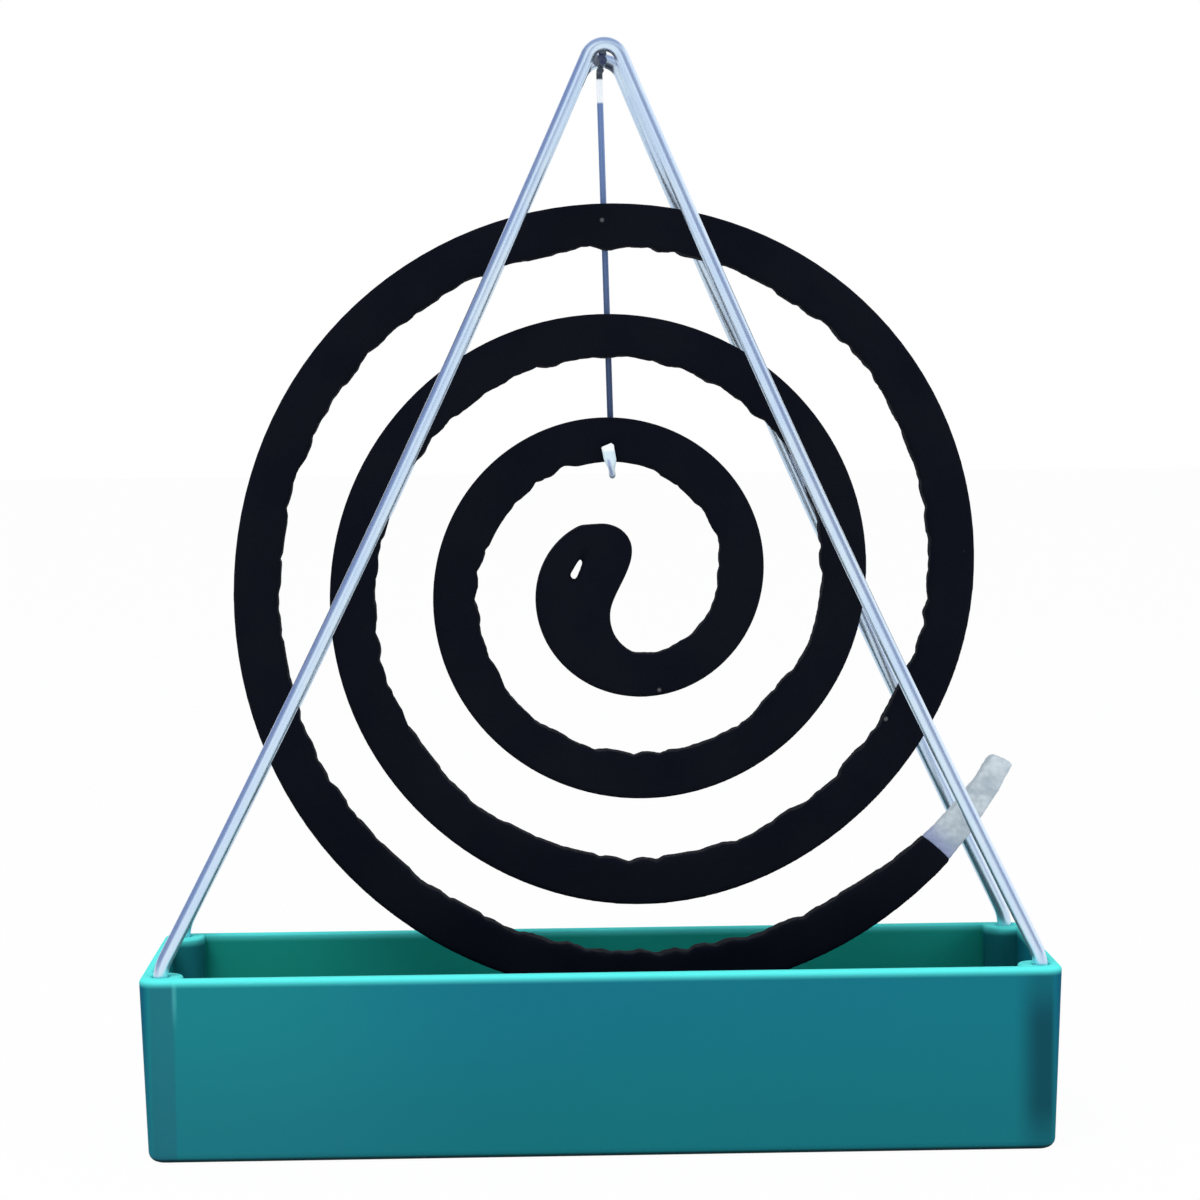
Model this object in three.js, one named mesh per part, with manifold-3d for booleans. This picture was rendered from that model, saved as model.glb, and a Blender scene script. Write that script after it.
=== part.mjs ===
// Mosquito coil holder: a moulded tray that catches the ash, a wire stand of two bent frames
// plugged into the tray's corner posts, a wire hook under the stand's crossbar, and a burning coil.
// Millimetres, +Z up, +Y to the back. The origin is the middle of the tray's underside.

import * as THREE from 'three';
import { mergeVertices } from 'three/addons/utils/BufferGeometryUtils.js';
import Module from 'manifold-3d';

const wasm = await Module();
wasm.setup();

// Tray, injection moulded in one piece
const trayLength = 150.7;
const trayDepth = 46;
const trayHeight = 30.5;
const trayWall = 1.8;
const trayFloor = 2;
const trayDraft = 1; // the outer faces stand this much further in at the foot than at the rim
const trayCornerRadius = 3;
const trayInnerCornerRadius = 2;
const trayFootRadius = 1.6;
const rimOuterRadius = 0.9;
const rimInnerRadius = 0.4;
const floorFillet = 1.6;

// Corner posts of the tray, each with a blind socket for one foot of the stand
const postReach = 7.1; // from the outer faces of the rim to the post's inner sides
const postCornerRadius = 3;
const postTopRadius = 0.7;
const socketInset = 3.4; // from the outer faces of the rim to the socket's middle
const socketDepth = 10;
const socketClearance = 0.3;
const socketLeadIn = 0.25;

// Stand, two A-shaped frames of one plated wire each
const frameWire = 2.4;
const footGap = 0.3; // under the wire's end, at the bottom of the socket
const frontNeckRise = 1.1; // from the rim to the middle of the bend where a leg leaves the vertical
const rearNeckRise = 1.6;
const neckBend = 2.2; // length of wire taken by that bend on either side of its corner
const apexHeight = 181.45; // of the front wire's middle line
const rearSag = 0.93; // the rear frame's top stands this much lower
const apexSpacing = 18.4; // from the front frame's wire to the rear frame's, at the top
const apexOffset = 2.05; // the stand's top leans this far to the right of the tray's middle
const frontBendRadius = 2.95;
const rearBendRadius = 3.8;
const leftBow = 1.35; // how far the left legs bow inward, half way up
const rightBow = 1.15;

// Crossbar, welded under the front bend and butted against the rear one
const barDiameter = 1.7;
const barShift = 0.45; // it lies this far to the left of the bends' middle
const barGap = 0.55; // under the front bend
const jointGap = 0.3; // kept between other pieces that touch on the real stand

// Hook, one thin wire: an arm welded along the underside of the crossbar, a shank and a J
const hookWire = 1.05;
const armLength = 8; // from the arm's cut end to the elbow's corner
const elbowRadius = 1.6;
const neckLength = 4.4; // from that corner down to a slight bend in the shank
const neckSlant = 0.9; // the corner stands this far in front of the shank below that bend
const hookDrop = 67.755; // from the top of the stand to the middle of the J's bend
const hookLean = 1; // the shank's lower end stands this far to the right of the stand's top
const shankShift = 0.5; // and its upper end this far to the left
const tipRise = 2.2; // pressed wire above the J's bend, in front of the coil
const bendLean = 0.5; // the front of the J's bend leans this far to the left
const tipLean = 0.4; // and the tip's top this much further
const tipWidth = 2.1; // the wire's end is pressed flat
const tipThickness = 0.65;
const tipSlant = 0.3; // the pressed end is cut askew, its right corner higher and its left one lower

// Coil, a pressed spiral that starts in a rounded head with a slot
const coilThickness = 4.3;
const coilWidth = 7.45;
const coilEdge = 0.5; // width of the worn edge on both faces
const coilStartRadius = 10.935; // middle line at the start of the first turn
const coilPitch = 17.3; // growth of the radius in one turn
const burnInner = 0.9; // lost from the inner edge at the glowing end
const burnOuter = 0.35; // and from the outer edge
const seatClearance = 0.35; // between the coil's faces and the J's wire
const seatDrop = 0.7; // from the middle of the J's bend down to the edge that hangs in it

// Slot in the head, where the coil is pressed on a spike when it stands flat
const slotLength = 4.3; // between the middles of its round ends
const slotWide = 1.3;
const slotNarrow = 0.7;

// Ash, the burnt end that still holds together
const ashThickness = 3.6;
const ashRootWidth = 5.75;
const ashTipWidth = 3.9;
const ashLength = 19.2;
const ashRise = 2.2; // how far the tip bends up from the straight line of its root
const ashSlant = 1.3; // the tip's upper corner stands this far short of its lower one
const ashEdge = 0.4;
const ashTipRadius = 0.9;

// Turns of the spiral, counted from its left side, going down and round
const headTurnShare = -0.15;
const innerStartShare = 0.27;
const seatTurnShare = 0.764;
const wanderTurnShare = 2;
const endTurnShare = 3.386;
const burnTurnShare = 0.05; // the last part of a turn, where the burning narrows the coil

// Fineness of the facets
const cornerSteps = 5;
const edgeSteps = 3;
const wireSides = 12;
const hookSides = 10;
const turnSteps = 42;
const overrun = 2; // length by which a cutting solid runs past the face it opens

const frameRadius = frameWire / 2;
const barRadius = barDiameter / 2;
const hookRadius = hookWire / 2;
const socketRadius = frameRadius + socketClearance;
const footX = trayLength / 2 - socketInset;
const footY = trayDepth / 2 - socketInset;
const apexY = apexSpacing / 2;

// Solids for the cuts

function toManifold(geometry) {
  const bare = geometry.clone();
  bare.deleteAttribute('normal');
  bare.deleteAttribute('uv');
  const merged = mergeVertices(bare);
  const mesh = new wasm.Mesh({
    numProp: 3,
    vertProperties: new Float32Array(merged.attributes.position.array),
    triVerts: new Uint32Array(merged.index.array)
  });
  return new wasm.Manifold(mesh);
}

function toGeometry(manifold) {
  const mesh = manifold.getMesh();
  const geometry = new THREE.BufferGeometry();
  geometry.setAttribute('position', new THREE.BufferAttribute(mesh.vertProperties, 3));
  geometry.setIndex(new THREE.BufferAttribute(mesh.triVerts, 1));
  geometry.computeVertexNormals();
  return geometry;
}

// Outline of a rectangle with round corners, seen from above, as points at one height
function roundedRing(inset, radius, z) {
  const halfX = trayLength / 2 - inset - radius;
  const halfY = trayDepth / 2 - inset - radius;
  const corners = [[halfX, halfY], [-halfX, halfY], [-halfX, -halfY], [halfX, -halfY]];
  const ring = [];
  corners.forEach(([x, y], quarter) => {
    for (let step = 0; step <= cornerSteps; step++) {
      const angle = (quarter + step / cornerSteps) * Math.PI / 2;
      ring.push(new THREE.Vector3(x + radius * Math.cos(angle), y + radius * Math.sin(angle), z));
    }
  });
  return ring;
}

// Closed body through a stack of rings, the first at the bottom, with flat ends
function stackRings(rings) {
  const count = rings[0].length;
  const points = rings.flat();
  const index = [];
  for (let level = 0; level + 1 < rings.length; level++) {
    for (let i = 0; i < count; i++) {
      const a = level * count + i;
      const b = level * count + (i + 1) % count;
      index.push(a, b, b + count, a, b + count, a + count);
    }
  }
  const ends = [[0, true], [(rings.length - 1) * count, false]];
  for (const [first, bottom] of ends) {
    for (let i = 1; i + 1 < count; i++) {
      const pair = bottom ? [first + i + 1, first + i] : [first + i, first + i + 1];
      index.push(first, ...pair);
    }
  }
  const geometry = new THREE.BufferGeometry().setFromPoints(points);
  geometry.setIndex(index);
  return geometry;
}

function draftAt(z) {
  return trayDraft * (1 - z / trayHeight);
}

function trayOuterRings() {
  const rings = [];
  for (let step = 0; step <= edgeSteps; step++) {
    const angle = step / edgeSteps * Math.PI / 2;
    const z = trayFootRadius * (1 - Math.cos(angle));
    const back = trayFootRadius * (1 - Math.sin(angle));
    rings.push(roundedRing(draftAt(z) + back, trayCornerRadius - back, z));
  }
  for (let step = 0; step <= edgeSteps; step++) {
    const angle = step / edgeSteps * Math.PI / 2;
    const z = trayHeight - rimOuterRadius * (1 - Math.sin(angle));
    const back = rimOuterRadius * (1 - Math.cos(angle));
    rings.push(roundedRing(draftAt(z) + back, trayCornerRadius - back, z));
  }
  return rings;
}

function trayInnerRings() {
  const rings = [];
  for (let step = 0; step <= edgeSteps; step++) {
    const angle = step / edgeSteps * Math.PI / 2;
    const z = trayFloor + floorFillet * (1 - Math.cos(angle));
    const back = floorFillet * (1 - Math.sin(angle));
    rings.push(roundedRing(trayWall + draftAt(z) + back, trayInnerCornerRadius - back, z));
  }
  for (let step = 0; step <= edgeSteps; step++) {
    const angle = step / edgeSteps * Math.PI / 2;
    const z = trayHeight - rimInnerRadius * (1 - Math.sin(angle));
    const out = rimInnerRadius * (1 - Math.cos(angle));
    rings.push(roundedRing(trayWall + draftAt(z) - out, trayInnerCornerRadius + out, z));
  }
  const mouthRadius = trayInnerCornerRadius + rimInnerRadius;
  rings.push(roundedRing(trayWall - rimInnerRadius, mouthRadius, trayHeight + overrun));
  return rings;
}

// One corner post, with its outer sides past the tray's faces, so that the tray cuts it there
function postGeometry(sideX, sideY) {
  const near = -overrun;
  const turn = postReach - postCornerRadius;
  const outline = [[near, near], [postReach, near]];
  for (let step = 0; step <= cornerSteps; step++) {
    const angle = step / cornerSteps * Math.PI / 2;
    const x = turn + postCornerRadius * Math.cos(angle);
    const y = turn + postCornerRadius * Math.sin(angle);
    outline.push([x, y]);
  }
  outline.push([near, postReach]);
  const points = outline.map(([x, y]) => new THREE.Vector2(
    sideX * (trayLength / 2 - x),
    sideY * (trayDepth / 2 - y)
  ));
  const geometry = new THREE.ExtrudeGeometry(new THREE.Shape(points), {
    depth: trayHeight - 2 * postTopRadius,
    bevelThickness: postTopRadius,
    bevelSize: postTopRadius,
    bevelOffset: -postTopRadius,
    bevelSegments: edgeSteps
  });
  geometry.translate(0, 0, postTopRadius);
  return geometry;
}

function socketGeometry(sideX, sideY) {
  const mouth = socketRadius + socketLeadIn;
  const profile = [
    new THREE.Vector2(0, -socketDepth),
    new THREE.Vector2(socketRadius, -socketDepth),
    new THREE.Vector2(socketRadius, -socketLeadIn),
    new THREE.Vector2(mouth, 0),
    new THREE.Vector2(mouth, overrun),
    new THREE.Vector2(0, overrun)
  ];
  const geometry = new THREE.LatheGeometry(profile, wireSides * 2);
  geometry.rotateX(Math.PI / 2);
  geometry.translate(sideX * footX, sideY * footY, trayHeight);
  return geometry;
}

function trayGeometry() {
  let well = toManifold(stackRings(trayInnerRings()));
  let body = toManifold(stackRings(trayOuterRings()));
  const corners = [[-1, -1], [1, -1], [1, 1], [-1, 1]];
  for (const [sideX, sideY] of corners) {
    well = well.subtract(toManifold(postGeometry(sideX, sideY)));
  }
  body = body.subtract(well);
  for (const [sideX, sideY] of corners) {
    body = body.subtract(toManifold(socketGeometry(sideX, sideY)));
  }
  return toGeometry(body);
}

// Bent wires

// A path of several curves, each with its own number of steps, so that bends get more of them
class BentWire extends THREE.Curve {
  constructor() {
    super();
    this.stages = [];
    this.steps = 0;
  }

  add(curve, steps) {
    this.stages.push({ curve, first: this.steps, steps });
    this.steps += steps;
    return this;
  }

  getPoint(t, target = new THREE.Vector3()) {
    const place = t * this.steps;
    const stage = this.stages.find((s) => place <= s.first + s.steps) ?? this.stages.at(-1);
    return target.copy(stage.curve.getPoint((place - stage.first) / stage.steps));
  }

  getUtoTmapping(u) {
    return u;
  }
}

// Part of a circle in space: its middle, two unit directions and the angles between them
class ArcInSpace extends THREE.Curve {
  constructor(middle, across, up, radius, start, end) {
    super();
    Object.assign(this, { middle, across, up, radius, start, end });
  }

  getPoint(t, target = new THREE.Vector3()) {
    const angle = this.start + (this.end - this.start) * t;
    return target.copy(this.middle)
      .addScaledVector(this.across, this.radius * Math.cos(angle))
      .addScaledVector(this.up, this.radius * Math.sin(angle));
  }
}

function wireGeometry(path, radius, sides) {
  const section = [];
  for (let i = 0; i < sides; i++) {
    const angle = i / sides * 2 * Math.PI;
    section.push(new THREE.Vector2(radius * Math.cos(angle), radius * Math.sin(angle)));
  }
  return new THREE.ExtrudeGeometry(new THREE.Shape(section), {
    steps: path.steps,
    bevelEnabled: false,
    extrudePath: path
  });
}

// Where a line from a point outside touches a circle, on the side that the turn sign names
function touchPoint(point, middle, radius, turnSign) {
  const away = new THREE.Vector2().subVectors(point, middle);
  const swing = Math.acos(radius / away.length());
  return away.normalize().rotateAround(new THREE.Vector2(), turnSign * swing)
    .multiplyScalar(radius)
    .add(middle);
}

// One A-shaped frame; side is -1 for the front and 1 for the rear
function framePath(side) {
  const front = side < 0;
  const bendRadius = front ? frontBendRadius : rearBendRadius;
  const topZ = front ? apexHeight : apexHeight - rearSag;
  const cornerZ = trayHeight + (front ? frontNeckRise : rearNeckRise);
  const rise = topZ - cornerZ;
  const drawIn = footY - apexY;
  const planeLength = Math.hypot(rise, drawIn);
  const across = new THREE.Vector3(1, 0, 0);
  const up = new THREE.Vector3(0, -side * drawIn, rise).divideScalar(planeLength);
  const base = new THREE.Vector3(0, side * footY, cornerZ);
  const inSpace = (p) => base.clone().addScaledVector(across, p.x).addScaledVector(up, p.y);

  const bendMiddle = new THREE.Vector2(apexOffset, planeLength - bendRadius);
  const legs = [-1, 1].map((hand) => {
    const bow = hand < 0 ? leftBow : rightBow;
    const foot = new THREE.Vector2(hand * footX, 0);
    const straight = touchPoint(foot, bendMiddle, bendRadius, hand);
    const chord = new THREE.Vector2().subVectors(straight, foot);
    const inward = new THREE.Vector2(-hand * chord.y, hand * chord.x).normalize();
    const control = foot.clone().addScaledVector(chord, 1 / 2).addScaledVector(inward, 2 * bow);
    const touch = touchPoint(control, bendMiddle, bendRadius, hand);
    const direction = new THREE.Vector2().subVectors(control, foot).normalize();
    const start = foot.clone().addScaledVector(direction, neckBend);
    const angle = Math.atan2(touch.y - bendMiddle.y, touch.x - bendMiddle.x);
    return { foot, start, control, touch, angle };
  });
  const [left, right] = legs;

  const lower = (leg) => {
    const corner = inSpace(leg.foot);
    const below = corner.clone().setZ(cornerZ - neckBend);
    const end = corner.clone().setZ(trayHeight - socketDepth + footGap);
    return { corner, below, end };
  };
  const leftFoot = lower(left);
  const rightFoot = lower(right);
  const line = (a, b) => new THREE.LineCurve3(a, b);
  const curve = (a, b, c) => new THREE.QuadraticBezierCurve3(a, b, c);
  const bend = new ArcInSpace(
    inSpace(bendMiddle), across, up, bendRadius, left.angle, right.angle
  );
  return new BentWire()
    .add(line(leftFoot.end, leftFoot.below), 2)
    .add(curve(leftFoot.below, leftFoot.corner, inSpace(left.start)), 4)
    .add(curve(inSpace(left.start), inSpace(left.control), inSpace(left.touch)), 10)
    .add(bend, 12)
    .add(curve(inSpace(right.touch), inSpace(right.control), inSpace(right.start)), 10)
    .add(curve(inSpace(right.start), rightFoot.corner, rightFoot.below), 4)
    .add(line(rightFoot.below, rightFoot.end), 2);
}

// A point of the crossbar's middle line, which rises from under the front bend to the rear wire
function barPoint(y) {
  const front = apexHeight - frameRadius - barGap - barRadius;
  const rear = apexHeight - rearSag;
  const z = THREE.MathUtils.lerp(front, rear, (y + apexY) / apexSpacing);
  return new THREE.Vector3(apexOffset - barShift, y, z);
}

function barGeometry() {
  const front = barPoint(-apexY - frameRadius);
  const rear = barPoint(apexY - frameRadius - jointGap);
  const way = new THREE.Vector3().subVectors(rear, front);
  const geometry = new THREE.CylinderGeometry(barRadius, barRadius, way.length(), wireSides * 2);
  const turn = new THREE.Quaternion();
  turn.setFromUnitVectors(new THREE.Vector3(0, 1, 0), way.normalize());
  geometry.applyQuaternion(turn);
  const middle = front.lerp(rear, 1 / 2);
  geometry.translate(middle.x, middle.y, middle.z);
  return geometry;
}

const seatY = coilThickness / 2 + seatClearance + hookRadius; // the J's bend, either side of the coil
const hookTurn = new THREE.Vector3(apexOffset + hookLean, 0, apexHeight - hookDrop);

// Hook: arm under the crossbar, elbow, slanting neck, straight shank behind the coil, J under it
function hookPath() {
  const roundHandle = 4 / 3 * Math.tan(Math.PI / 8); // share of the radius, for a quarter round
  const armPoint = (y) => {
    const point = barPoint(y);
    return new THREE.Vector3(
      apexOffset - shankShift, y, point.z - barRadius - jointGap - hookRadius
    );
  };
  const corner = armPoint(seatY - neckSlant);
  const armEnd = armPoint(seatY - neckSlant - armLength);
  const shankFoot = new THREE.Vector3(hookTurn.x, seatY, hookTurn.z);
  const shankHead = corner.clone().setY(seatY);
  const shankWay = new THREE.Vector3().subVectors(shankFoot, shankHead).normalize();
  const neckFoot = shankHead.addScaledVector(shankWay, neckLength);
  const armWay = new THREE.Vector3().subVectors(corner, armEnd).normalize();
  const neckWay = new THREE.Vector3().subVectors(neckFoot, corner).normalize();
  const elbowStart = corner.clone().addScaledVector(armWay, -elbowRadius);
  const elbowEnd = corner.clone().addScaledVector(neckWay, elbowRadius);
  const elbow = new THREE.CubicBezierCurve3(
    elbowStart,
    elbowStart.clone().lerp(corner, roundHandle),
    elbowEnd.clone().lerp(corner, roundHandle),
    elbowEnd
  );
  const bendStart = neckFoot.clone().addScaledVector(neckWay, -neckLength / 4);
  const bendEnd = neckFoot.clone().addScaledVector(shankWay, neckLength / 4);

  const backward = new THREE.Vector3(0, 1, 0);
  const up = new THREE.Vector3(0, 0, 1);
  const turn = new ArcInSpace(hookTurn, backward, up, seatY, 0, -Math.PI / 2);
  const lowest = turn.getPoint(1);
  const tipFoot = hookTurn.clone().add(new THREE.Vector3(-bendLean, -seatY, 0));
  const tipTop = tipFoot.clone().add(new THREE.Vector3(-tipLean, 0, tipRise));
  const tipWay = new THREE.Vector3().subVectors(tipTop, tipFoot).normalize();
  const rise = new THREE.CubicBezierCurve3(
    lowest,
    lowest.clone().addScaledVector(backward, -seatY * roundHandle),
    tipFoot.clone().addScaledVector(tipWay, -seatY * roundHandle),
    tipFoot
  );
  return new BentWire()
    .add(new THREE.LineCurve3(armEnd, elbowStart), 2)
    .add(elbow, 6)
    .add(new THREE.LineCurve3(elbowEnd, bendStart), 1)
    .add(new THREE.QuadraticBezierCurve3(bendStart, neckFoot, bendEnd), 4)
    .add(new THREE.LineCurve3(bendEnd, shankFoot), 4)
    .add(turn, 6)
    .add(rise, 8)
    .add(new THREE.LineCurve3(tipFoot, tipTop), 2);
}

// The wire with its end in front of the coil pressed flat, gradually up the front of the J's bend
function hookGeometry() {
  const geometry = wireGeometry(hookPath(), hookRadius, hookSides);
  const points = geometry.getAttribute('position');
  const wide = tipWidth / hookWire;
  const thin = tipThickness / hookWire;
  const tipY = -seatY;
  for (let i = 0; i < points.count; i++) {
    const rise = points.getZ(i) - hookTurn.z;
    if (points.getY(i) < -hookRadius && rise < tipRise + hookRadius) {
      const share = THREE.MathUtils.smoothstep(rise, -seatY * 3 / 4, 0);
      const lean = rise > 0 ? bendLean + tipLean * rise / tipRise : bendLean * (1 + rise / seatY);
      const middle = hookTurn.x - lean;
      const beside = (points.getX(i) - middle) * (1 + (wide - 1) * share);
      const askew = THREE.MathUtils.smoothstep(rise, tipRise / 2, tipRise) * beside / tipWidth;
      points.setX(i, middle + beside);
      points.setY(i, tipY + (points.getY(i) - tipY) * (1 + (thin - 1) * share));
      points.setZ(i, points.getZ(i) + 2 * tipSlant * askew);
    }
  }
  return geometry;
}

// Coil

// Drift of the spiral's outer round off its even growth, as shares of the pitch, at equal steps
const wanderShares = [
  0, 0.011, 0.041, 0, 0.051, 0.093, 0.063, 0.013, -0.071, -0.062, -0.055, -0.026, 0.01
];
const wanderStepShare = 0.125;
const wander = new THREE.SplineCurve(wanderShares.map((share, i) => new THREE.Vector2(i, share)));

function coilRadius(turn) {
  const place = Math.max(0, (turn - wanderTurnShare) / wanderStepShare);
  const drift = wander.getPoint(place / (wanderShares.length - 1)).y;
  return coilStartRadius + coilPitch * (turn + drift);
}

// Point beside the spiral's middle line, in the coil's own plane
function spiralPoint(turn, beside = 0) {
  const radius = coilRadius(turn) + beside;
  const angle = turn * 2 * Math.PI;
  return new THREE.Vector2(-radius * Math.cos(angle), -radius * Math.sin(angle));
}

// One edge of the coil, drawn in towards its middle line by the burn where the coil ends
function spiralEdge(from, to, beside, burn) {
  const steps = Math.ceil(Math.abs(to - from) * turnSteps);
  const points = [];
  for (let step = 0; step <= steps; step++) {
    const turn = from + (to - from) * step / steps;
    const burnt = Math.max(0, 1 - (endTurnShare - turn) / burnTurnShare);
    points.push(spiralPoint(turn, beside - Math.sign(beside) * burn * burnt));
  }
  return points;
}

// The head's inner side, from the first turn's inner edge round its hollow to its blunt end,
// as shares of the pitch from the spiral's middle
const headHollowShares = [[-0.04, -0.62], [-0.14, -0.5], [-0.14, -0.31]];
const headBackShares = [[-0.14, -0.13], [0.08, 0.1], [0.08, 0.315]];
const headEndShares = [[0.08, 0.49], [-0.08, 0.58], [-0.22, 0.575]];
const slotShares = [-0.45, 0.14]; // middle of the slot
const slotAngle = Math.PI * 0.355;

function slotPath() {
  const middle = new THREE.Vector2(slotShares[0], slotShares[1]).multiplyScalar(coilPitch);
  const half = new THREE.Vector2(Math.cos(slotAngle), Math.sin(slotAngle))
    .multiplyScalar(slotLength / 2);
  const top = middle.clone().add(half);
  const foot = middle.clone().sub(half);
  const side = slotAngle - Math.PI / 2;
  const path = new THREE.Path();
  path.absarc(top.x, top.y, slotNarrow / 2, side, side + Math.PI, false);
  path.absarc(foot.x, foot.y, slotWide / 2, side + Math.PI, side + 2 * Math.PI, false);
  path.closePath();
  return path;
}

function coilGeometry() {
  const outer = spiralEdge(headTurnShare, endTurnShare, coilWidth / 2, burnOuter);
  const inner = spiralEdge(endTurnShare, innerStartShare, -coilWidth / 2, burnInner);
  const shape = new THREE.Shape(outer);
  inner.forEach((p) => shape.lineTo(p.x, p.y));
  for (const shares of [headHollowShares, headBackShares, headEndShares]) {
    shape.bezierCurveTo(...shares.flat().map((share) => share * coilPitch));
  }
  shape.closePath();
  shape.holes.push(slotPath());
  return flatGeometry(shape, coilThickness, coilEdge);
}

// Ash: carries on from the coil's end, a little narrower and thinner, and bends up to its tip
function ashGeometry() {
  const end = spiralPoint(endTurnShare, (burnInner - burnOuter) / 2);
  const step = 1 / turnSteps / turnSteps;
  const way = spiralPoint(endTurnShare).sub(spiralPoint(endTurnShare - step)).normalize();
  const side = new THREE.Vector2(-way.y, way.x);
  const place = (along, beside) => end.clone()
    .addScaledVector(way, jointGap + along)
    .addScaledVector(side, beside);
  const root = ashRootWidth / 2;
  const tip = ashTipWidth / 2;
  const middle = ashLength / 2;
  const high = ashLength - ashSlant;
  const lowCorner = place(ashLength, ashRise - tip);
  const highCorner = place(high, ashRise + tip);
  const rounding = ashTipRadius / lowCorner.distanceTo(highCorner);
  const start = place(0, -root);
  const shape = new THREE.Shape();
  const curve = (control, to) => shape.quadraticCurveTo(control.x, control.y, to.x, to.y);
  shape.moveTo(start.x, start.y);
  curve(place(middle, -(root + tip) / 2), place(ashLength - ashTipRadius, ashRise - tip));
  curve(lowCorner, lowCorner.clone().lerp(highCorner, rounding));
  const tipHigh = highCorner.clone().lerp(lowCorner, rounding);
  shape.lineTo(tipHigh.x, tipHigh.y);
  curve(highCorner, place(high - ashTipRadius, ashRise + tip));
  curve(place(middle, (root + tip) / 2), place(0, root));
  shape.closePath();
  return flatGeometry(shape, ashThickness, ashEdge);
}

// Flat piece that stands upright, facing the front, with its middle plane at y = 0
function flatGeometry(shape, thickness, edge) {
  const geometry = new THREE.ExtrudeGeometry(shape, {
    depth: thickness - 2 * edge,
    bevelThickness: edge,
    bevelSize: edge,
    bevelOffset: -edge,
    bevelSegments: 1,
    curveSegments: 6
  });
  geometry.translate(0, 0, edge - thickness / 2);
  geometry.rotateX(Math.PI / 2);
  return geometry;
}

// Assembly

function named(name, geometry, material) {
  const mesh = new THREE.Mesh(geometry, material);
  mesh.name = name;
  return mesh;
}

const turquoise = new THREE.MeshStandardMaterial({ color: 0x1c8a8c, roughness: 0.42, metalness: 0 });
const plated = new THREE.MeshStandardMaterial({ color: 0xb4c4dc, roughness: 0.25, metalness: 1 });
const charcoal = new THREE.MeshStandardMaterial({ color: 0x15161d, roughness: 0.9, metalness: 0 });
const burnt = new THREE.MeshStandardMaterial({ color: 0xbcc2c8, roughness: 1, metalness: 0 });

const holder = new THREE.Group();
holder.add(named('tray', trayGeometry(), turquoise));

const stand = new THREE.Group();
stand.add(named('front_frame', wireGeometry(framePath(-1), frameRadius, wireSides), plated));
stand.add(named('rear_frame', wireGeometry(framePath(1), frameRadius, wireSides), plated));
stand.add(named('crossbar', barGeometry(), plated));
stand.add(named('hanging_hook', hookGeometry(), plated));
holder.add(stand);

// The coil hangs with the inner edge of its third ring in the J
const coil = new THREE.Group();
const seat = spiralPoint(seatTurnShare, -coilWidth / 2);
coil.position.set(hookTurn.x - seat.x, 0, hookTurn.z - seatDrop - seat.y);
coil.add(named('mosquito_coil', coilGeometry(), charcoal));
coil.add(named('ash_end', ashGeometry(), burnt));
holder.add(coil);

export default holder;
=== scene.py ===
import math

import bmesh
import bpy
from mathutils import Matrix, Vector, noise


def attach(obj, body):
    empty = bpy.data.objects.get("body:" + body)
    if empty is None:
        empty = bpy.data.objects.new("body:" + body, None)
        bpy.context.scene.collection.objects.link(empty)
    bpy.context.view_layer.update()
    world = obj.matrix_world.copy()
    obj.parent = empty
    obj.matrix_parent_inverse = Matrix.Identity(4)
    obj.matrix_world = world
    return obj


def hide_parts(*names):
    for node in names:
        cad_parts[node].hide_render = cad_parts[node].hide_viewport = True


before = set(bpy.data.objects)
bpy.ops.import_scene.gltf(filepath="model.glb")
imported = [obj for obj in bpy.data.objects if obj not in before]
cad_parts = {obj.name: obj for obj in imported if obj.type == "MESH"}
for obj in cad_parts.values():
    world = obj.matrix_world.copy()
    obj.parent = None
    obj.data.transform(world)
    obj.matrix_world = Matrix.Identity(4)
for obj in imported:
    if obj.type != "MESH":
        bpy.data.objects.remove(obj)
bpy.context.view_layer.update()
mm = 0.001


# Camera. It stands about half a metre in front of the tray, a little above the coil's middle, and
# looks slightly down, as the photograph was taken. The frame is square.

place = Vector((-15.156, -549.586, 126.325)) * mm
turn, tilt, roll = 0.0290, -0.0664, -0.0094
ahead = Vector((math.sin(turn) * math.cos(tilt), math.cos(turn) * math.cos(tilt), math.sin(tilt)))
level = Vector((math.cos(turn), -math.sin(turn), 0))
upright = level.cross(ahead)
right = level * math.cos(roll) + upright * math.sin(roll)
above = upright * math.cos(roll) - level * math.sin(roll)

bpy.ops.object.camera_add()
camera = bpy.context.object
camera.name = "camera"
camera.matrix_world = Matrix.Translation(place) @ Matrix((right, above, -ahead)).transposed().to_4x4()
camera.data.sensor_width = 36
camera.data.lens = 98.334
camera.data.clip_start = 10 * mm
camera.data.clip_end = 20
bpy.context.scene.camera = camera
bpy.context.scene.view_settings.view_transform = "Standard"


# Studio. The floor is pale board that keeps a faint shadow. Whatever looks past the object sees
# plain white. The metal mirrors a pale room with three dark blue screens: one in front on the
# right, one all along the left, and one overhead.

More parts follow.
